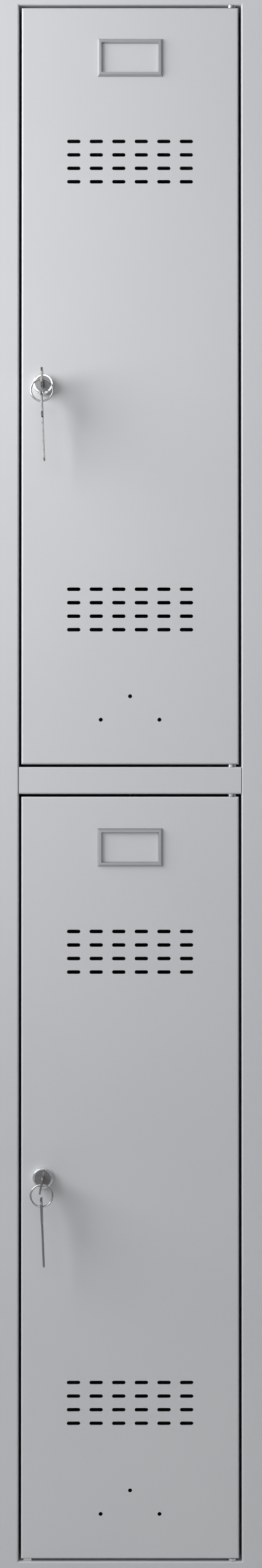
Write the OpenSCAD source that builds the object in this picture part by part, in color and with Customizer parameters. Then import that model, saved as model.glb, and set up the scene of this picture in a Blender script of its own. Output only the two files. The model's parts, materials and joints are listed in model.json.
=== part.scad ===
// Two-compartment steel locker: a welded sheet body, two hinged doors, and a cam lock with its keys on
// each door. The origin is on the floor under the middle of the body. +X is to the right of a person who
// faces the doors, +Y points to the back and +Z points up. Every length is in millimetres.

/* [Body] */
// Overall width
cabinet_w = 300; // [295:1:400]
// Depth of the body, without the locks and keys
cabinet_d = 500; // [400:5:600]
// Overall height
cabinet_h = 1800; // [1700:5:2000]
// Width of the front frame's stiles
stile_w = 26.5; // [25:0.5:30]
// Height of the front frame's top and bottom rails
rail_h = 36; // [34:1:60]
// Height of the rail between the doors
mid_rail_h = 30; // [26:1:50]
// Depth of the folded reveal around each door opening
reveal_d = 24; // [22:0.5:25]
// Thickness of the folded steel sheet
sheet_t = 1; // [0.8:0.1:1]
// Outside radius of the sheet's bends
bend_r = 2; // [1.5:0.1:2]

/* [Doors] */
// Gap between a door and the frame
door_gap = 3; // [2.8:0.1:3.2]
// Depth of the folded door pan
door_d = 26; // [25.5:0.5:27]
// Width of the inward lip round the back of a door
door_lip = 12; // [8:1:12]
// Distance from a door's hinge edge to the hinge axis
hinge_inset = 7.5; // [7:0.1:8]
// Distance from the front face to the hinge axis
hinge_setback = 5; // [5:0.1:5.4]

/* [Ventilation slots] */
// Slots side by side in a group
slot_columns = 6; // [2:1:6]
// Rows of slots in a group
slot_rows = 4; // [1:1:6]
// Length of a slot
slot_l = 14.8; // [10:0.2:18]
// Height of a slot
slot_h = 4; // [3:0.2:5]
// Sideways pitch of the slots
slot_pitch_x = 25; // [22:0.5:25]
// Upright pitch of the slots
slot_pitch_z = 15; // [10:0.5:20]
// Distance from a door's end to the nearest row
slot_inset = 149.5; // [120:0.5:170]

/* [Card holders] */
// Width of the card holder
holder_w = 72.5; // [50:0.5:80]
// Height of the card holder
holder_h = 42.5; // [30:0.5:60]
// Distance from a door's top edge to the card holder
holder_inset = 35; // [25:0.5:40]

/* [Locks and keys] */
// Distance from a door's left edge to the lock
lock_inset = 24.3; // [22.5:0.1:25]
// Diameter of the lock's bezel
bezel_d = 22.5; // [22:0.1:24]
// How far the bezel stands out from the door
bezel_proud = 9; // [7:0.5:10]
// Length of a key
key_l = 75; // [74:0.5:76]
// Thickness of a key
key_t = 2; // [1.6:0.1:2]
// Outside diameter of a key ring
ring_d = 26; // [24:0.5:28]
// Clockwise lean of the upper door's key
upper_key_lean = 0; // [0:1:10]
// Clockwise lean of the lower door's key
lower_key_lean = 10; // [0:1:10]
// Lean to the right of the hanging spare keys
spare_key_lean = 2.3; // [0:0.1:3]

/* [Hidden] */

// Facets of a full circle, the overlap of joined shapes, and how far a cutter passes the face it cuts
fine = 48;
eps = 0.01;
over = 1;

// Outline of the body and of the door openings
half_w = cabinet_w / 2;
front_y = -cabinet_d / 2;
back_y = cabinet_d / 2;
opening_half_w = half_w - stile_w;
door_half_w = opening_half_w - door_gap;
door_h = (cabinet_h - 2 * rail_h - mid_rail_h - 4 * door_gap) / 2;
lower_door_z = rail_h + door_gap;
divider_bottom_z = lower_door_z + door_h + door_gap;
divider_top_z = divider_bottom_z + mid_rail_h;
upper_door_z = divider_top_z + door_gap;
opening_top_z = cabinet_h - rail_h;

// Panels inside the frame
panel_half_w = half_w - sheet_t;
inside_half_w = panel_half_w - sheet_t;
frame_return = 12;
panel_setback = 6;
panel_front_y = front_y + panel_setback;
roof_front_y = front_y + frame_return;
base_front_y = front_y + frame_return;
panel_return = 15;
tray_flange = 15;
roof_z = cabinet_h - sheet_t;
base_z = rail_h - sheet_t;
base_foot = 18;
divider_seam = 0.4;
divider_step_y = front_y + reveal_d + sheet_t;

// Hinges, and the buffer under the lower door's lock edge
hinge_x = door_half_w - hinge_inset;
hinge_y = front_y + hinge_setback;
pin_d = 4;
pin_clearance = 0.1;
pin_head_d = 6;
pin_head_h = 1.5;
pin_reach = 6;
bush_shank_d = 6;
bush_shank_l = 6;
bush_collar_d = 9.6;
bush_play = 0.2;
buffer_w = 9;
buffer_l = 12;
buffer_play = 0.4;
buffer_stud_d = 4;
buffer_stud_l = 4;
buffer_r = 1;
buffer_inset = 7;
buffer_setback = 9;
buffer_x = -door_half_w + buffer_inset;
buffer_y = front_y + buffer_setback;

// Coat hooks
hook_plate = [50, 20, 1.5];
hook_stem_d = 8;
hook_stem_l = 52;
hook_wire_d = 6;
hook_bend_r = 14;
hook_tip_l = 10;
hook_tip_d = 9;

// Holes for fixing the cabinet to a wall and to its neighbours
wall_hole_d = 9;
wall_hole_pitch_x = 180;
wall_hole_pitch_z = 1500;
side_hole_d = 7;
side_hole_pitch_y = 380;
side_hole_pitch_z = 1500;

// Door details, measured from the door's bottom edge
door_hole_d = 4.4;
door_hole_pair = 65;
door_hole_pair_z = 49.5;
door_hole_single_z = 75.5;
stiffener_w = 24;
stiffener_foot = 8;
stiffener_d = 17;
stiffener_clear = 8;
stiffener_inset = 28.5;
stiffener_x = door_half_w - stiffener_inset;
lock_z = door_h / 2;
lock_x = -door_half_w + lock_inset;

// Card holder
holder_t = 3.2;
holder_bar = 5.5;
holder_outer_slope = 2;
holder_inner_slope = 1;
holder_stud_d = 3;
holder_stud_l = 4;
holder_clip_d = 8;
holder_clip_t = 1;

// Lock
barrel_d = 18.6;
barrel_flats = 16;
barrel_play = 0.2;
barrel_recess = 1.5;
barrel_end = door_d - barrel_recess;
lock_nut_af = 24;
lock_nut_t = 4;
plug_d = 13;
plug_face_d = 18;
plug_face_t = 3;
plug_face_recess = 0.6;
plug_face_play = 0.2;
plug_clearance = 0.1;
bezel_edge = 0.9;
cam_t = 2;
cam_w = 14;
cam_hub_d = 18;
cam_l = 40;
cam_clear = 0.5;
cam_front = door_d + cam_clear;
cam_square = 8;
stub_d = 7;
stub_l = 6;
cam_nut_af = 12;
cam_nut_t = 4.5;
keyway_play = 0.4;
keyway_w = key_t + keyway_play;
keyway_h = 9;

// Keys and their ring
bow_w = 22;
bow_l = 28;
bow_corner = 6;
neck_w = 9;
neck_l = 6;
blade_w = 8;
blade_tip_l = 2.5;
blade_start = bow_l + neck_l;
bow_hole_d = 5.6;
bow_hole_inset = 10.8;
key_end = barrel_end;
bow_tip = key_end - key_l;
cut_pitch = 4;
cut_depths = [1.2, 2.2, 0.8, 1.8, 1.4, 2.4, 1];
cut_start = 9;
cut_half_w = 1.8;
cut_floor_half_w = 0.5;
groove_w = 2;
groove_depth = 0.4;
ring_wire_d = 2;
ring_coil_gap = 1.3;
ring_r = (ring_d - ring_wire_d) / 2;
ring_drop = 1.3;
spare_lift = 1.3;
ring_centre_z = -ring_drop - ring_r;
spare_hole_z = ring_centre_z - ring_r - spare_lift;

// ---------------------------------------------------------------- shapes that repeat

// Outline with its two front corners rounded; the front edge lies on the X axis
module front_rounded_outline(half_width, depth, radius) {
    translate([-half_width, radius]) square([2 * half_width, depth - radius]);
    translate([-half_width + radius, 0]) square([2 * (half_width - radius), depth]);
    for (side = [-1, 1])
        translate([side * (half_width - radius), radius]) circle(r = radius, $fn = fine);
}

// Block that stands on z = 0 with its front at y = 0 and its four front edges rounded
module pan_block(half_width, depth, height, radius) {
    intersection() {
        linear_extrude(height) front_rounded_outline(half_width, depth, radius);
        translate([0, 0, height / 2])
            rotate([0, 90, 0])
                linear_extrude(2 * half_width, center = true)
                    front_rounded_outline(height / 2, depth, radius);
    }
}

// Block under z = 0 from y = 0 to y = length, with its left, right and back top edges rounded
module tray_block(half_width, length, depth, radius) {
    intersection() {
        translate([0, length, 0])
            rotate([90, 0, 0])
                linear_extrude(length)
                    mirror([0, 1]) front_rounded_outline(half_width, depth, radius);
        translate([-half_width, 0, 0])
            rotate([90, 0, 90])
                linear_extrude(2 * half_width) {
                    translate([0, -depth]) square([length, depth - radius]);
                    translate([0, -radius - eps]) square([length - radius, radius + eps]);
                    translate([length - radius, -radius]) circle(r = radius, $fn = fine);
                }
    }
}

// Sheet with its left, right and back edges folded down; its top is at z = 0
module tray(half_width, length, flange) {
    difference() {
        tray_block(half_width, length, flange, bend_r);
        translate([0, -eps, -sheet_t])
            tray_block(half_width - sheet_t, length - sheet_t + eps, flange, bend_r - sheet_t);
    }
}

// Quarter of a bent sheet's section: from a face on y = 0 round to a flange on x = 0
module bend_section() {
    intersection() {
        translate([-bend_r, bend_r])
            difference() {
                circle(r = bend_r, $fn = fine);
                circle(r = bend_r - sheet_t, $fn = fine);
            }
        translate([-bend_r, 0]) square(bend_r);
    }
}

// Section of a fold: the bend, and a flange that runs back to a given depth
module fold_section(depth) {
    bend_section();
    translate([-sheet_t, bend_r]) square([sheet_t, depth - bend_r]);
}

// Fold that runs up the body from z0 to z1, with its flange on the plane x
module upright_fold(x, side, depth, z0, z1) {
    translate([x, front_y, z0])
        linear_extrude(z1 - z0)
            mirror([side > 0 ? 1 : 0, 0]) fold_section(depth);
}

// Fold that runs across the body, with its flange on the plane z
module cross_fold(z, side, depth, half_length) {
    translate([-half_length, front_y, z])
        rotate([90, 0, 90])
            linear_extrude(2 * half_length)
                mirror([0, side > 0 ? 1 : 0])
                    rotate(90) mirror([0, 1]) fold_section(depth);
}

module hex_prism(across_flats, height) {
    cylinder(d = across_flats / cos(30), h = height, $fn = 6);
}

// Children drawn along +Z are turned to run along +Y, towards the back
module along_y() {
    rotate([-90, 0, 0]) children();
}

// Children drawn in the XZ plane, cut right through a door's skin
module through_skin() {
    translate([0, 2 * sheet_t, 0])
        rotate([90, 0, 0])
            linear_extrude(3 * sheet_t) children();
}

module at_door(z) {
    translate([0, front_y, z]) children();
}

module at_lock(z) {
    translate([lock_x, front_y, z + lock_z]) children();
}

// ---------------------------------------------------------------- body

module front_plate() {
    plate_top = cabinet_h - bend_r;
    inner_half = opening_half_w + bend_r;
    translate([0, front_y, 0])
        difference() {
            translate([-half_w + bend_r, 0, bend_r])
                cube([2 * (half_w - bend_r), sheet_t, plate_top - bend_r]);
            translate([-inner_half, -eps, rail_h - bend_r])
                cube([2 * inner_half, sheet_t + 2 * eps, opening_top_z - rail_h + 2 * bend_r]);
        }
}

module front_frame() {
    corner = opening_half_w + bend_r;
    low = rail_h - bend_r;
    high = opening_top_z + bend_r;
    color("lightgray")
        difference() {
            union() {
                front_plate();
                for (side = [-1, 1]) {
                    upright_fold(side * opening_half_w, side, reveal_d, low, high);
                    upright_fold(side * half_w, -side, frame_return, bend_r, cabinet_h - bend_r);
                }
                cross_fold(rail_h, -1, reveal_d, corner);
                cross_fold(opening_top_z, 1, reveal_d, corner);
                cross_fold(0, 1, frame_return, half_w - bend_r);
                cross_fold(cabinet_h, -1, frame_return, half_w - bend_r);
            }
            // the flanges stop at the corners of the opening
            for (side = [-1, 1])
                for (z = [low, opening_top_z + sheet_t])
                    translate([side * opening_half_w - 2 * bend_r, front_y + bend_r, z - eps])
                        cube([4 * bend_r, reveal_d, bend_r - sheet_t + eps]);
            for (z = [rail_h, opening_top_z])
                translate([hinge_x, hinge_y, z])
                    cylinder(d = bush_shank_d, h = 4 * sheet_t, center = true, $fn = fine);
            translate([buffer_x, buffer_y, rail_h])
                cylinder(d = buffer_stud_d, h = 4 * sheet_t, center = true, $fn = fine);
        }
}

module side_panel(side) {
    length = back_y - bend_r - panel_front_y;
    color("lightgray")
        difference() {
            union() {
                translate([side > 0 ? inside_half_w : -panel_half_w, panel_front_y, 0])
                    cube([sheet_t, length, roof_z]);
                translate([side * panel_half_w, back_y, 0])
                    mirror([0, 1, 0])
                        linear_extrude(roof_z)
                            mirror([side < 0 ? 1 : 0, 0]) {
                                bend_section();
                                translate([-panel_return, 0]) square([panel_return - bend_r, sheet_t]);
                            }
            }
            for (y = [-0.5, 0.5], z = [-0.5, 0.5])
                translate([side * half_w, y * side_hole_pitch_y, cabinet_h / 2 + z * side_hole_pitch_z])
                    rotate([0, 90, 0])
                        cylinder(d = side_hole_d, h = 6 * sheet_t, center = true, $fn = fine);
        }
}

module back_panel() {
    panel_w = 2 * (panel_half_w - bend_r);
    color("lightgray")
        difference() {
            translate([-panel_w / 2, back_y - 2 * sheet_t, 0]) cube([panel_w, sheet_t, roof_z]);
            for (x = [-0.5, 0.5], z = [-0.5, 0.5])
                translate([x * wall_hole_pitch_x, back_y, cabinet_h / 2 + z * wall_hole_pitch_z])
                    rotate([90, 0, 0])
                        cylinder(d = wall_hole_d, h = 8 * sheet_t, center = true, $fn = fine);
        }
}

module roof_panel() {
    color("lightgray")
        translate([0, roof_front_y, roof_z])
            tray(inside_half_w, back_y - 2 * sheet_t - roof_front_y, tray_flange);
}

module base_panel() {
    length = back_y - 2 * sheet_t - base_front_y;
    color("lightgray") {
        translate([0, base_front_y, base_z]) tray(inside_half_w, length, base_z);
        // inward feet that stand on the floor at the sides and the back
        difference() {
            translate([-inside_half_w, base_front_y, 0]) cube([2 * inside_half_w, length, sheet_t]);
            translate([-inside_half_w + base_foot, base_front_y - eps, -eps])
                cube([2 * (inside_half_w - base_foot), length - base_foot + eps, 2 * sheet_t]);
        }
    }
}

module divider_shelf() {
    front_half_w = opening_half_w - divider_seam;
    half_h = mid_rail_h / 2;
    color("lightgray")
        difference() {
            union() {
                translate([0, front_y, divider_bottom_z])
                    rotate([90, 0, 90])
                        linear_extrude(2 * front_half_w, center = true)
                            difference() {
                                translate([0, half_h])
                                    rotate(-90) front_rounded_outline(half_h, reveal_d, bend_r);
                                translate([sheet_t, half_h])
                                    rotate(-90)
                                        front_rounded_outline(half_h - sheet_t, reveal_d, bend_r - sheet_t);
                            }
                translate([-front_half_w, front_y + reveal_d - eps, divider_top_z - sheet_t])
                    cube([2 * front_half_w, 3 * sheet_t, sheet_t]);
                translate([0, divider_step_y, divider_top_z])
                    tray(inside_half_w, back_y - 2 * sheet_t - divider_step_y, tray_flange);
            }
            for (z = [divider_bottom_z, divider_top_z])
                translate([hinge_x, hinge_y, z])
                    cylinder(d = bush_shank_d, h = 4 * sheet_t, center = true, $fn = fine);
        }
}

// Double coat hook, welded under a sheet whose lower face is at z
module coat_hook(z) {
    stem_bottom = -hook_plate.z - hook_stem_l;
    color("silver")
        translate([0, 0, z]) {
            translate([-hook_plate.x / 2, -hook_plate.y / 2, -hook_plate.z]) cube(hook_plate);
            translate([0, 0, stem_bottom]) cylinder(d = hook_stem_d, h = hook_stem_l + eps, $fn = fine);
            for (turn = [0, 180])
                rotate([0, 0, turn]) {
                    translate([hook_bend_r, 0, stem_bottom])
                        rotate([-90, 0, 0])
                            rotate_extrude(angle = 180, $fn = fine)
                                translate([hook_bend_r, 0]) circle(d = hook_wire_d, $fn = fine);
                    translate([2 * hook_bend_r, 0, stem_bottom])
                        cylinder(d = hook_wire_d, h = hook_tip_l, $fn = fine);
                    translate([2 * hook_bend_r, 0, stem_bottom + hook_tip_l])
                        sphere(d = hook_tip_d, $fn = fine);
                }
        }
}

module upper_coat_hook() {
    coat_hook(roof_z - sheet_t);
}

module lower_coat_hook() {
    coat_hook(divider_top_z - sheet_t);
}

// Flanged steel bush, with its collar above the plane z when side is 1 and below it when side is -1
module hinge_bush(z, side) {
    collar_h = door_gap - bush_play;
    bore_h = bush_shank_l + collar_h + 2 * over;
    color("silver")
        translate([hinge_x, hinge_y, z])
            mirror([0, 0, side < 0 ? 1 : 0])
                difference() {
                    union() {
                        cylinder(d = bush_collar_d, h = collar_h, $fn = fine);
                        translate([0, 0, -bush_shank_l])
                            cylinder(d = bush_shank_d, h = bush_shank_l + eps, $fn = fine);
                    }
                    translate([0, 0, -bush_shank_l - over])
                        cylinder(d = pin_d + pin_clearance, h = bore_h, $fn = fine);
                }
}

module upper_door_top_bush() {
    hinge_bush(opening_top_z, -1);
}

module upper_door_bottom_bush() {
    hinge_bush(divider_top_z, 1);
}

module lower_door_top_bush() {
    hinge_bush(divider_bottom_z, -1);
}

module lower_door_bottom_bush() {
    hinge_bush(rail_h, 1);
}

// White buffer that snaps into the bottom rail, under the lower door's lock corner
module lower_door_buffer() {
    pad_h = door_gap - buffer_play;
    color("white")
        translate([buffer_x, buffer_y, rail_h]) {
            translate([0, -buffer_l / 2, 0])
                intersection() {
                    rotate([-90, 0, 0])
                        linear_extrude(buffer_l)
                            translate([0, -pad_h]) front_rounded_outline(buffer_w / 2, pad_h, buffer_r);
                    translate([-buffer_w / 2, 0, 0]) cube([buffer_w, buffer_l, pad_h]);
                }
            translate([0, 0, -buffer_stud_l])
                cylinder(d = buffer_stud_d, h = buffer_stud_l + eps, $fn = fine);
        }
}

// ---------------------------------------------------------------- doors

// Grid of slots, centred sideways, with its lowest row on the X axis
module slot_group() {
    for (column = [0 : slot_columns - 1], row = [0 : slot_rows - 1])
        translate([(column - (slot_columns - 1) / 2) * slot_pitch_x, row * slot_pitch_z]) {
            square([slot_l - slot_h, slot_h], center = true);
            for (side = [-1, 1])
                translate([side * (slot_l - slot_h) / 2, 0]) circle(d = slot_h, $fn = 32);
        }
}

module door_holes() {
    for (side = [-0.5, 0.5])
        translate([side * door_hole_pair, door_hole_pair_z]) circle(d = door_hole_d, $fn = fine);
    translate([0, door_hole_single_z]) circle(d = door_hole_d, $fn = fine);
}

// Round hole with two flats, which keeps the lock's barrel from turning
module barrel_outline(play) {
    intersection() {
        circle(d = barrel_d + play, $fn = fine);
        square([barrel_flats + play, barrel_d + play + 2 * over], center = true);
    }
}

module holder_stud_places() {
    for (side = [-1, 1])
        translate([side * (holder_w - holder_bar) / 2, door_h - holder_inset - holder_h / 2]) children();
}

module door_pan() {
    lip_window = door_half_w - sheet_t - door_lip;
    pan_inside_h = door_h - 2 * sheet_t;
    color("lightgray")
        difference() {
            pan_block(door_half_w, door_d, door_h, bend_r);
            translate([0, sheet_t, sheet_t])
                pan_block(door_half_w - sheet_t, door_d - 2 * sheet_t, pan_inside_h, bend_r - sheet_t);
            translate([-lip_window, door_d - 2 * sheet_t, sheet_t + door_lip])
                cube([2 * lip_window, 3 * sheet_t, door_h - 2 * (sheet_t + door_lip)]);
            through_skin() {
                translate([0, slot_inset]) slot_group();
                translate([0, door_h - slot_inset - (slot_rows - 1) * slot_pitch_z]) slot_group();
                door_holes();
                translate([lock_x, lock_z]) barrel_outline(barrel_play);
                holder_stud_places() circle(d = holder_stud_d, $fn = fine);
            }
            for (z = [0, door_h])
                translate([hinge_x, hinge_setback, z])
                    cylinder(d = pin_d, h = 4 * sheet_t, center = true, $fn = fine);
        }
}

// Hat-section stiffener behind the skin on the hinge side
module door_stiffener() {
    outer = stiffener_w / 2;
    color("lightgray")
        translate([stiffener_x, sheet_t, stiffener_clear])
            linear_extrude(door_h - 2 * stiffener_clear) {
                for (side = [-1, 1]) {
                    translate([side * (outer + stiffener_foot / 2), sheet_t / 2])
                        square([stiffener_foot, sheet_t], center = true);
                    translate([side * (outer - sheet_t / 2), stiffener_d / 2])
                        square([sheet_t, stiffener_d], center = true);
                }
                translate([-outer, stiffener_d - sheet_t]) square([stiffener_w, sheet_t]);
            }
}

// Two riveted pins, one through each end of the door
module hinge_pins() {
    color("silver")
        for (end = [0, 1])
            translate([hinge_x, hinge_setback, end * door_h])
                mirror([0, 0, end]) {
                    translate([0, 0, sheet_t]) cylinder(d = pin_head_d, h = pin_head_h, $fn = fine);
                    translate([0, 0, -pin_reach])
                        cylinder(d = pin_d, h = pin_reach + sheet_t + eps, $fn = fine);
                }
}

// Section of a bar that narrows from y = 0 to y = -depth
module sloped_section(width, depth, slope) {
    half = width / 2;
    polygon([[-half, 0], [half, 0], [half - slope, -depth], [-half + slope, -depth]]);
}

// Four-sided block with sloping sides, from an outline at y = 0 to a smaller one at y = -height
module sloped_block(width, height, depth, slope) {
    intersection() {
        linear_extrude(height, center = true)
            sloped_section(width, depth, slope);
        rotate([0, 90, 0])
            linear_extrude(width, center = true)
                sloped_section(height, depth, slope);
    }
}

module card_holder() {
    window_w = holder_w - 2 * holder_bar;
    window_h = holder_h - 2 * holder_bar;
    color("silver") {
        translate([0, 0, door_h - holder_inset - holder_h / 2])
            difference() {
                sloped_block(holder_w, holder_h, holder_t, holder_outer_slope);
                translate([0, -holder_t - eps, 0])
                    mirror([0, 1, 0])
                        sloped_block(
                            window_w + 2 * holder_inner_slope, window_h + 2 * holder_inner_slope,
                            holder_t + 2 * eps, holder_inner_slope
                        );
            }
        translate([0, holder_stud_l, 0])
            rotate([90, 0, 0])
                linear_extrude(holder_stud_l + over)
                    holder_stud_places() circle(d = holder_stud_d, $fn = fine);
    }
}

module card_holder_clips() {
    color("dimgray")
        translate([0, sheet_t + holder_clip_t, 0])
            rotate([90, 0, 0])
                linear_extrude(holder_clip_t)
                    holder_stud_places()
                        difference() {
                            circle(d = holder_clip_d, $fn = fine);
                            circle(d = holder_stud_d, $fn = fine);
                        }
}

// ---------------------------------------------------------------- lock, with its axis along Y

module lock_housing() {
    flare = bezel_d / 2;
    face_depth = plug_face_recess + plug_face_t + plug_face_play;
    bore_l = bezel_proud + barrel_end + 2 * over;
    color("silver")
        difference() {
            union() {
                // bezel, with its front edge turned over
                rotate([90, 0, 0])
                    rotate_extrude($fn = fine) {
                        square([flare, bezel_proud - bezel_edge]);
                        square([flare - bezel_edge, bezel_proud]);
                        translate([flare - bezel_edge, bezel_proud - bezel_edge])
                            circle(r = bezel_edge, $fn = fine);
                    }
                along_y() translate([0, 0, -eps]) linear_extrude(barrel_end + eps) barrel_outline(0);
            }
            along_y() {
                translate([0, 0, -bezel_proud - over])
                    cylinder(d = plug_d + plug_clearance, h = bore_l, $fn = fine);
                translate([0, 0, -bezel_proud - over])
                    cylinder(d = plug_face_d + plug_clearance, h = over + face_depth, $fn = fine);
            }
        }
}

module lock_nut() {
    color("silver")
        along_y()
            translate([0, 0, sheet_t])
                difference() {
                    rotate([0, 0, 30]) hex_prism(lock_nut_af, lock_nut_t);
                    translate([0, 0, -over]) cylinder(d = barrel_d, h = lock_nut_t + 2 * over, $fn = fine);
                }
}

module lock_plug() {
    face_y = -bezel_proud + plug_face_recess;
    color("gray")
        difference() {
            along_y() {
                translate([0, 0, face_y]) cylinder(d = plug_face_d, h = plug_face_t, $fn = fine);
                translate([0, 0, face_y]) cylinder(d = plug_d, h = cam_front - face_y, $fn = fine);
                translate([0, 0, cam_front + cam_t / 2 - eps])
                    cube([cam_square, cam_square, cam_t + 2 * eps], center = true);
                translate([0, 0, cam_front + cam_t]) cylinder(d = stub_d, h = stub_l, $fn = fine);
            }
            translate([-keyway_w / 2, face_y - over, -keyway_h / 2])
                cube([keyway_w, over - face_y + key_end + keyway_play, keyway_h]);
        }
}

module lock_cam() {
    color("silver")
        along_y()
            translate([0, 0, cam_front])
                linear_extrude(cam_t)
                    difference() {
                        union() {
                            circle(d = cam_hub_d, $fn = fine);
                            translate([-cam_w / 2, 0]) square([cam_w, cam_l - cam_w / 2]);
                            translate([0, cam_l - cam_w / 2]) circle(d = cam_w, $fn = fine);
                        }
                        square(cam_square, center = true);
                    }
}

module cam_nut() {
    color("silver")
        along_y()
            translate([0, 0, cam_front + cam_t])
                difference() {
                    hex_prism(cam_nut_af, cam_nut_t);
                    translate([0, 0, -over]) cylinder(d = stub_d, h = cam_nut_t + 2 * over, $fn = fine);
                }
}

// Outline of a key, with its bow's tip at the origin and its blade along +X
module key_outline() {
    shoulder = key_l - blade_tip_l;
    difference() {
        union() {
            for (x = [bow_corner, bow_l - bow_corner], y = [-1, 1])
                translate([x, y * (bow_w / 2 - bow_corner)]) circle(r = bow_corner, $fn = fine);
            translate([bow_corner, -bow_w / 2]) square([bow_l - 2 * bow_corner, bow_w]);
            translate([0, -bow_w / 2 + bow_corner]) square([bow_l, bow_w - 2 * bow_corner]);
            translate([bow_l - over, -neck_w / 2]) square([neck_l + over, neck_w]);
            translate([blade_start - over, -blade_w / 2]) square([shoulder - blade_start + over, blade_w]);
            polygon([
                [shoulder - eps, -blade_w / 2], [shoulder, -blade_w / 2], [key_l, -blade_w / 4],
                [key_l, blade_w / 4], [shoulder, blade_w / 2], [shoulder - eps, blade_w / 2]
            ]);
        }
        translate([bow_hole_inset, 0]) circle(d = bow_hole_d, $fn = fine);
        for (i = [0 : len(cut_depths) - 1])
            translate([blade_start + cut_start + i * cut_pitch, blade_w / 2])
                polygon([
                    [-cut_half_w, eps], [-cut_floor_half_w, -cut_depths[i]],
                    [cut_floor_half_w, -cut_depths[i]], [cut_half_w, eps]
                ]);
    }
}

// Flat key on z = 0, with a groove milled along each side of its blade
module flat_key() {
    difference() {
        linear_extrude(key_t) key_outline();
        for (z = [-over, key_t - groove_depth])
            translate([blade_start, -blade_w / 2 + groove_w / 2, z])
                cube([key_l, groove_w, groove_depth + over]);
    }
}

// Key pushed home in the plug, flat in the plane x = 0
module inserted_key() {
    color("silver")
        translate([-key_t / 2, bow_tip, 0])
            rotate([90, 0, 90]) flat_key();
}

// Split ring that hangs through the inserted key's bow and faces the front
module key_ring() {
    color("silver")
        translate([0, bow_tip + bow_hole_inset, ring_centre_z])
            rotate([90, 0, 0])
                rotate_extrude($fn = fine)
                    translate([ring_r, 0]) {
                        for (side = [-0.5, 0.5])
                            translate([0, side * ring_coil_gap]) circle(d = ring_wire_d, $fn = 32);
                        square([ring_wire_d / 2, ring_coil_gap], center = true);
                    }
}

// Second key, hanging by its bow from the bottom of the ring
module spare_key() {
    color("silver")
        translate([0, bow_tip + bow_hole_inset, spare_hole_z])
            rotate([0, -spare_key_lean, 0])
                translate([-key_t / 2, 0, bow_hole_inset])
                    rotate([0, 90, 0]) flat_key();
}

// ---------------------------------------------------------------- the upper door's parts

module upper_door() {
    at_door(upper_door_z) door_pan();
}

module upper_door_stiffener() {
    at_door(upper_door_z) door_stiffener();
}

module upper_door_hinge_pins() {
    at_door(upper_door_z) hinge_pins();
}

module upper_card_holder() {
    at_door(upper_door_z) card_holder();
}

module upper_card_holder_clips() {
    at_door(upper_door_z) card_holder_clips();
}

module upper_lock_housing() {
    at_lock(upper_door_z) lock_housing();
}

module upper_lock_nut() {
    at_lock(upper_door_z) lock_nut();
}

module upper_lock_plug() {
    at_lock(upper_door_z) rotate([0, upper_key_lean, 0]) lock_plug();
}

module upper_lock_cam() {
    at_lock(upper_door_z) rotate([0, upper_key_lean, 0]) lock_cam();
}

module upper_cam_nut() {
    at_lock(upper_door_z) rotate([0, upper_key_lean, 0]) cam_nut();
}

module upper_key() {
    at_lock(upper_door_z) rotate([0, upper_key_lean, 0]) inserted_key();
}

module upper_key_ring() {
    at_lock(upper_door_z) key_ring();
}

module upper_spare_key() {
    at_lock(upper_door_z) spare_key();
}

// ---------------------------------------------------------------- the lower door's parts

module lower_door() {
    at_door(lower_door_z) door_pan();
}

module lower_door_stiffener() {
    at_door(lower_door_z) door_stiffener();
}

module lower_door_hinge_pins() {
    at_door(lower_door_z) hinge_pins();
}

module lower_card_holder() {
    at_door(lower_door_z) card_holder();
}

module lower_card_holder_clips() {
    at_door(lower_door_z) card_holder_clips();
}

module lower_lock_housing() {
    at_lock(lower_door_z) lock_housing();
}

module lower_lock_nut() {
    at_lock(lower_door_z) lock_nut();
}

module lower_lock_plug() {
    at_lock(lower_door_z) rotate([0, lower_key_lean, 0]) lock_plug();
}

module lower_lock_cam() {
    at_lock(lower_door_z) rotate([0, lower_key_lean, 0]) lock_cam();
}

module lower_cam_nut() {
    at_lock(lower_door_z) rotate([0, lower_key_lean, 0]) cam_nut();
}

module lower_key() {
    at_lock(lower_door_z) rotate([0, lower_key_lean, 0]) inserted_key();
}

module lower_key_ring() {
    at_lock(lower_door_z) key_ring();
}

module lower_spare_key() {
    at_lock(lower_door_z) spare_key();
}

front_frame();
side_panel(-1);  // left_side_panel
side_panel(1);  // right_side_panel
back_panel();
roof_panel();
base_panel();
divider_shelf();
upper_coat_hook();
lower_coat_hook();
upper_door_top_bush();
upper_door_bottom_bush();
lower_door_top_bush();
lower_door_bottom_bush();
lower_door_buffer();
upper_door();
upper_door_stiffener();
upper_door_hinge_pins();
upper_card_holder();
upper_card_holder_clips();
upper_lock_housing();
upper_lock_nut();
upper_lock_plug();
upper_lock_cam();
upper_cam_nut();
upper_key();
upper_key_ring();
upper_spare_key();
lower_door();
lower_door_stiffener();
lower_door_hinge_pins();
lower_card_holder();
lower_card_holder_clips();
lower_lock_housing();
lower_lock_nut();
lower_lock_plug();
lower_lock_cam();
lower_cam_nut();
lower_key();
lower_key_ring();
lower_spare_key();
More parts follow.
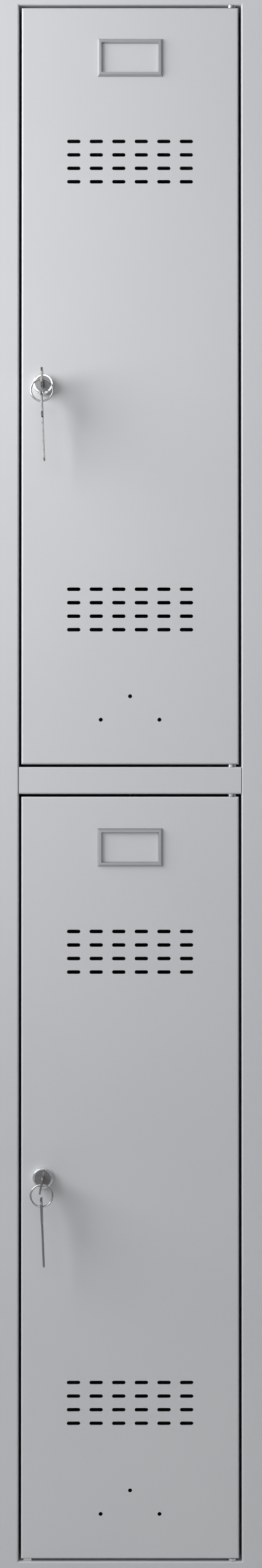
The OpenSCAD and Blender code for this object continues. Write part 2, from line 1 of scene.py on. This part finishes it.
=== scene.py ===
"""Two-compartment steel locker: looks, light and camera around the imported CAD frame."""
import bpy
import bmesh
import json
import math
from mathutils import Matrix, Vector


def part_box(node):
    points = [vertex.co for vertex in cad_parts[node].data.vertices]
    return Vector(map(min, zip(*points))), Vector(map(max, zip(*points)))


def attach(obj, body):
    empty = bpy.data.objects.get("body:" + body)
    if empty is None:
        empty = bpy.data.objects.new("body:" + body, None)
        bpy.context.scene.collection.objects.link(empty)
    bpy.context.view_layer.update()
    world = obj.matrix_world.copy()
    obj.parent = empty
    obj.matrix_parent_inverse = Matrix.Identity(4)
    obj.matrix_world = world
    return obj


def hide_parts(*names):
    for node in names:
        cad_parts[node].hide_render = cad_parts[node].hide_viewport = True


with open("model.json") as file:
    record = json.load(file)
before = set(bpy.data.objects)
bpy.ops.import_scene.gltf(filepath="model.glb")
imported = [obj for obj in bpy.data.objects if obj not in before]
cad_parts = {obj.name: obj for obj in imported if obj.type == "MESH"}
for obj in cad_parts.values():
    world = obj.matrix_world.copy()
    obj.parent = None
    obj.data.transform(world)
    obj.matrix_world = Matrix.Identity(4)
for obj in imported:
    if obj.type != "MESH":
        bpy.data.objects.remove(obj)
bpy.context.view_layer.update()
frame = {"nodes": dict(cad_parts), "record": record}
scene = bpy.context.scene
MM = 0.001
DOORS = ("upper", "lower")


# ---------------------------------------------------------------- materials

NOISE_LOW = 0.3          # most of a noise texture's values lie between these two
NOISE_HIGH = 0.7


class Nodes:
    """A material's node tree, with short calls for the nodes that the materials share."""

    def __init__(self, name):
        self.material = bpy.data.materials.new(name)
        self.material.use_nodes = True
        self.tree = self.material.node_tree
        self.shader = self.tree.nodes["Principled BSDF"]

    def add(self, kind):
        return self.tree.nodes.new(kind)

    def link(self, source, target):
        self.tree.links.new(source, target)

    def base(self, colour, roughness, metallic=0.0):
        self.shader.inputs["Base Color"].default_value = (*colour, 1)
        self.shader.inputs["Roughness"].default_value = roughness
        self.shader.inputs["Metallic"].default_value = metallic

    def position(self, stretch=(1, 1, 1)):
        """Place on the object in metres, stretched along each axis."""
        place = self.add("ShaderNodeTexCoord")
        mapping = self.add("ShaderNodeMapping")
        mapping.inputs["Scale"].default_value = stretch
        self.link(place.outputs["Object"], mapping.inputs["Vector"])
        return mapping.outputs["Vector"]

    def noise(self, scale, detail, stretch=(1, 1, 1)):
        noise = self.add("ShaderNodeTexNoise")
        noise.inputs["Scale"].default_value = scale
        noise.inputs["Detail"].default_value = detail
        self.link(self.position(stretch), noise.inputs["Vector"])
        return noise.outputs["Fac"]

    def span(self, value, low, high):
        """The middle of a noise's values mapped to low..high."""
        ramp = self.add("ShaderNodeMapRange")
        ramp.inputs["From Min"].default_value = NOISE_LOW
        ramp.inputs["From Max"].default_value = NOISE_HIGH
        ramp.inputs["To Min"].default_value = low
        ramp.inputs["To Max"].default_value = high
        self.link(value, ramp.inputs["Value"])
        return ramp.outputs["Result"]

    def colours(self, value, first, second):
        """Two colours mixed by a value."""
        mix = self.add("ShaderNodeMix")
        mix.data_type = "RGBA"
        mix.inputs["A"].default_value = (*first, 1)
        mix.inputs["B"].default_value = (*second, 1)
        self.link(self.span(value, 0, 1), mix.inputs["Factor"])
        self.link(mix.outputs["Result"], self.shader.inputs["Base Color"])

    def roughness(self, value, low, high):
        self.link(self.span(value, low, high), self.shader.inputs["Roughness"])

    def bump(self, value, height, strength=1.0):
        bump = self.add("ShaderNodeBump")
        bump.inputs["Distance"].default_value = height
        bump.inputs["Strength"].default_value = strength
        self.link(value, bump.inputs["Height"])
        self.link(bump.outputs["Normal"], self.shader.inputs["Normal"])


def light_grey_paint():
    """Light grey powder coat: a fine orange peel, and slow changes of shade over a sheet."""
    n = Nodes("light_grey_paint")
    n.base((0.62, 0.63, 0.65), 0.4)
    n.colours(n.noise(2.5, 3), (0.600, 0.612, 0.634), (0.630, 0.640, 0.658))
    n.roughness(n.noise(9, 4), 0.36, 0.44)
    n.bump(n.noise(1100, 2), 0.02 * MM, 0.6)
    return n.material


def zinc_plate():
    """Bright zinc plate with a faint mottle."""
    n = Nodes("zinc_plate")
    n.base((0.72, 0.74, 0.76), 0.24, 1)
    n.colours(n.noise(160, 3), (0.64, 0.66, 0.68), (0.78, 0.79, 0.80))
    n.roughness(n.noise(320, 3), 0.18, 0.32)
    n.bump(n.noise(2600, 2), 0.01 * MM, 0.4)
    return n.material


def white_nylon():
    """Moulded nylon that lets a little light in."""
    n = Nodes("white_nylon")
    n.base((0.82, 0.82, 0.79), 0.42)
    n.colours(n.noise(300, 2), (0.80, 0.80, 0.77), (0.87, 0.87, 0.85))
    n.shader.inputs["Subsurface Weight"].default_value = 0.15
    n.shader.inputs["Subsurface Radius"].default_value = (1 * MM, 0.8 * MM, 0.6 * MM)
    n.roughness(n.noise(900, 2), 0.36, 0.5)
    n.bump(n.noise(2500, 2), 0.01 * MM, 0.5)
    return n.material


def satin_aluminium():
    """Satin metal with very fine drawn lines along X."""
    n = Nodes("satin_aluminium")
    n.base((0.52, 0.525, 0.54), 0.46, 1)
    lines = n.noise(5200, 2, (0.02, 1, 1))
    n.colours(lines, (0.50, 0.505, 0.52), (0.54, 0.545, 0.56))
    n.roughness(lines, 0.42, 0.50)
    n.bump(lines, 0.002 * MM, 0.4)
    return n.material


def spring_steel():
    """Dark blued steel of the card holders' clips."""
    n = Nodes("spring_steel")
    n.base((0.16, 0.17, 0.2), 0.35, 1)
    n.colours(n.noise(400, 3), (0.12, 0.13, 0.16), (0.22, 0.22, 0.24))
    n.roughness(n.noise(700, 2), 0.28, 0.42)
    n.bump(n.noise(2600, 2), 0.008 * MM, 0.5)
    return n.material


def chrome_plate():
    """Bright chrome of the lock's housing."""
    n = Nodes("chrome_plate")
    n.base((0.86, 0.87, 0.88), 0.07, 1)
    n.colours(n.noise(60, 2), (0.83, 0.84, 0.86), (0.89, 0.90, 0.90))
    n.roughness(n.noise(500, 4), 0.05, 0.11)
    n.bump(n.noise(700, 2), 0.004 * MM, 0.5)
    return n.material


def plug_nickel():
    """Brushed face of the lock's plug, with fine lines across it."""
    n = Nodes("plug_nickel")
    n.base((0.30, 0.30, 0.31), 0.42, 1)
    lines = n.noise(3000, 3, (0.03, 1, 1))
    n.colours(lines, (0.24, 0.24, 0.25), (0.37, 0.37, 0.38))
    n.roughness(lines, 0.36, 0.5)
    n.bump(lines, 0.008 * MM, 0.6)
    return n.material


def key_nickel():
    """Nickel-plated keys, tumbled, with fine handling scratches, their colours darkened as painted
    shade.
    """
    n = Nodes("key_nickel")
    # painted shade: the base colour and both mottle colours are set dark so the keys look shaded;
    # real nickel plate is bright, and only the mottle between the two colours is the keys' own tone
    n.base((0.30, 0.30, 0.295), 0.34, 1)
    n.colours(n.noise(260, 4), (0.25, 0.25, 0.245), (0.35, 0.35, 0.34))
    n.roughness(n.noise(900, 4, (1, 0.15, 1)), 0.28, 0.42)
    n.bump(n.noise(1500, 3, (1, 0.1, 1)), 0.006 * MM, 0.4)
    return n.material


def ring_steel():
    """Polished wire of the key rings."""
    n = Nodes("ring_steel")
    n.base((0.60, 0.60, 0.61), 0.18, 1)
    n.colours(n.noise(500, 3), (0.52, 0.52, 0.53), (0.66, 0.66, 0.67))
    n.roughness(n.noise(1400, 3), 0.13, 0.26)
    n.bump(n.noise(3000, 2), 0.006 * MM, 0.5)
    return n.material


MATERIALS = {
    make.__name__: make()
    for make in (
        light_grey_paint, zinc_plate, white_nylon, satin_aluminium, spring_steel,
        chrome_plate, plug_nickel, key_nickel, ring_steel,
    )
}


def dress_cad_nodes():
    """Every CAD node gets the material of its slot."""
    for part in frame["record"]["subparts"]:
        mesh = frame["nodes"][part["node"]].data
        mesh.materials.clear()
        mesh.materials.append(MATERIALS[part["material_slot"]])


dress_cad_nodes()


# ---------------------------------------------------------------- edges

EDGE_RADII = {            # millimetres, for each door's or compartment's pieces
    "card_holder": 0.3, "card_holder_clips": 0.15, "lock_nut": 0.3, "lock_cam": 0.25, "cam_nut": 0.25,
    "key": 0.22, "spare_key": 0.22, "lock_plug": 0.12, "coat_hook": 0.3,
}
WELD_DISTANCE = 0.001 * MM
FLAT_ANGLE = 0.5         # degrees between faces that count as one flat face
SHARP_ANGLE = 32         # degrees from which an edge is rounded


def soften_edges(node, width):
    """Rounds a CAD node's sharp edges with modifiers, and leaves its mesh as it is."""
    piece = frame["nodes"][node]
    weld = piece.modifiers.new("weld", "WELD")
    weld.merge_threshold = WELD_DISTANCE
    flat = piece.modifiers.new("flat_faces", "DECIMATE")
    flat.decimate_type = "DISSOLVE"
    flat.angle_limit = math.radians(FLAT_ANGLE)
    flat.delimit = {"MATERIAL"}
    bevel = piece.modifiers.new("edges", "BEVEL")
    bevel.width = width
    bevel.segments = 2
    bevel.limit_method = "ANGLE"
    bevel.angle_limit = math.radians(SHARP_ANGLE)
    bevel.harden_normals = False
    smooth = piece.modifiers.new("normals", "WEIGHTED_NORMAL")
    smooth.keep_sharp = False


for door in DOORS:
    for part, radius in EDGE_RADII.items():
        soften_edges(f"{door}_{part}", radius * MM)


# ---------------------------------------------------------------- key rings

RING_WIRE = 1.0 * MM     # radius
RING_STEPS = 96          # along one turn
WIRE_SIDES = 14
RING_END = 0.1           # turns between the ring's two ends
RING_START = 35          # degrees round the ring at which the wire begins
CROSS_START = 0.42       # share of the wire at which the crossover begins
CROSS_LENGTH = 0.16      # share of the wire that the crossover takes
TIP_SHARE = 0.55         # the wire's radius at its tips, as a share of the full radius
TIP_GROWTH = 12          # how fast the radius grows from a tip, per whole wire


def split_ring(door):
    """Wound split ring of round wire: two turns side by side, joined by a short crossover."""
    node = f"{door}_key_ring"
    low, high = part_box(node)
    centre = (low + high) / 2
    radius = (high.z - low.z) / 2 - RING_WIRE
    side = (high.y - low.y) / 2 - RING_WIRE
    turns = 2 - RING_END
    steps = int(RING_STEPS * turns)
    bm = bmesh.new()
    loops = []
    for i in range(steps + 1):
        along = i / steps
        angle = math.tau * turns * along + math.radians(RING_START)
        ease = min(max((along - CROSS_START) / CROSS_LENGTH, 0), 1)
        offset = side * (2 * ease * ease * (3 - 2 * ease) - 1)
        out = Vector((math.cos(angle), 0, math.sin(angle)))
        taper = min(1, TIP_SHARE + TIP_GROWTH * min(along, 1 - along))
        spot = centre + out * radius + Vector((0, offset, 0))
        loop = []
        for k in range(WIRE_SIDES):
            turn = math.tau * k / WIRE_SIDES
            reach = out * math.cos(turn) + Vector((0, math.sin(turn), 0))
            loop.append(bm.verts.new(spot + reach * RING_WIRE * taper))
        loops.append(loop)
    for first, second in zip(loops, loops[1:]):
        for k in range(WIRE_SIDES):
            n = (k + 1) % WIRE_SIDES
            bm.faces.new((first[k], first[n], second[n], second[k]))
    bm.faces.new(loops[0][::-1])
    bm.faces.new(loops[-1])
    bmesh.ops.recalc_face_normals(bm, faces=bm.faces)
    mesh = bpy.data.meshes.new(f"{door}_split_ring")
    bm.to_mesh(mesh)
    bm.free()
    for face in mesh.polygons:
        face.use_smooth = len(face.vertices) == 4
    mesh.materials.append(MATERIALS["ring_steel"])
    ring = bpy.data.objects.new(f"{door}_split_ring", mesh)
    scene.collection.objects.link(ring)
    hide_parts(node)
    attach(ring, f"{door}_ring")


for door in DOORS:
    split_ring(door)


# ---------------------------------------------------------------- floor, light and camera

FLOOR_REACH = 12         # metres from the middle to each side


def stage_floor():
    size = FLOOR_REACH
    mesh = bpy.data.meshes.new("floor")
    mesh.from_pydata(
        [(-size, -size, 0), (size, -size, 0), (size, size, 0), (-size, size, 0)], [], [(0, 1, 2, 3)]
    )
    floor = bpy.data.objects.new("floor", mesh)
    scene.collection.objects.link(floor)
    n = Nodes("pale_floor")
    n.base((0.62, 0.62, 0.61), 0.6)
    n.roughness(n.noise(4, 3), 0.55, 0.7)
    mesh.materials.append(n.material)


def area_light(name, place, target, width, height, watts):
    light = bpy.data.lights.new(name, "AREA")
    light.shape = "RECTANGLE"
    light.size = width
    light.size_y = height
    light.energy = watts
    holder = bpy.data.objects.new(name, light)
    scene.collection.objects.link(holder)
    holder.location = place
    direction = Vector(target) - Vector(place)
    holder.rotation_euler = direction.to_track_quat("-Z", "Y").to_euler()


FADE_LEFT = -0.6         # left and right component of the viewing direction where the fade ends
FADE_RIGHT = 0.9
LEFT_STRENGTH = 0.40
RIGHT_STRENGTH = 0.10
ROOM_COLOUR = (0.97, 0.975, 1, 1)


def studio_world():
    """Soft room light that fades from the left of the object to the right."""
    world = bpy.data.worlds.new("studio")
    scene.world = world
    world.use_nodes = True
    tree = world.node_tree
    background = tree.nodes["Background"]
    place = tree.nodes.new("ShaderNodeTexCoord")
    split = tree.nodes.new("ShaderNodeSeparateXYZ")
    fade = tree.nodes.new("ShaderNodeMapRange")
    fade.interpolation_type = "SMOOTHSTEP"
    fade.inputs["From Min"].default_value = FADE_LEFT
    fade.inputs["From Max"].default_value = FADE_RIGHT
    fade.inputs["To Min"].default_value = LEFT_STRENGTH
    fade.inputs["To Max"].default_value = RIGHT_STRENGTH
    tree.links.new(place.outputs["Generated"], split.inputs["Vector"])
    tree.links.new(split.outputs["X"], fade.inputs["Value"])
    tree.links.new(fade.outputs["Result"], background.inputs["Strength"])
    background.inputs["Color"].default_value = ROOM_COLOUR


LIGHTS = (               # name, place, target, width, height, watts
    ("key_left", (-1.35, -0.95, 1.75), (0, -0.25, 1.5), 1.3, 1.4, 34),
    ("fill_front", (-0.5, -3.2, 1.75), (0, -0.25, 1.0), 1.8, 0.7, 12.5),
    ("rim_right", (2.6, 0.6, 2.0), (0, 0, 1.0), 1.2, 2.2, 14),
    ("back", (-1.6, 2.8, 2.2), (0, 0.25, 1.0), 1.6, 2.2, 30),
)


def light_scene():
    studio_world()
    for light in LIGHTS:
        area_light(*light)


CAMERA_DISTANCE = 2.30   # from the front frame's face
CAMERA_HEIGHT = 0.8739
CAMERA_ASIDE = 1.02 * MM
CAMERA_PITCH = 0.5525    # degrees above the horizon
LENS = 47.577            # millimetres, like the sensor
SENSOR = 36.0


def place_camera():
    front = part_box("front_frame")[0].y
    data = bpy.data.cameras.new("camera")
    data.sensor_width = SENSOR
    data.lens = LENS
    camera = bpy.data.objects.new("camera", data)
    scene.collection.objects.link(camera)
    camera.location = (CAMERA_ASIDE, front - CAMERA_DISTANCE, CAMERA_HEIGHT)
    camera.rotation_euler = (math.radians(90 + CAMERA_PITCH), 0, 0)
    scene.camera = camera


stage_floor()
light_scene()
place_camera()
scene.view_settings.view_transform = "Standard"
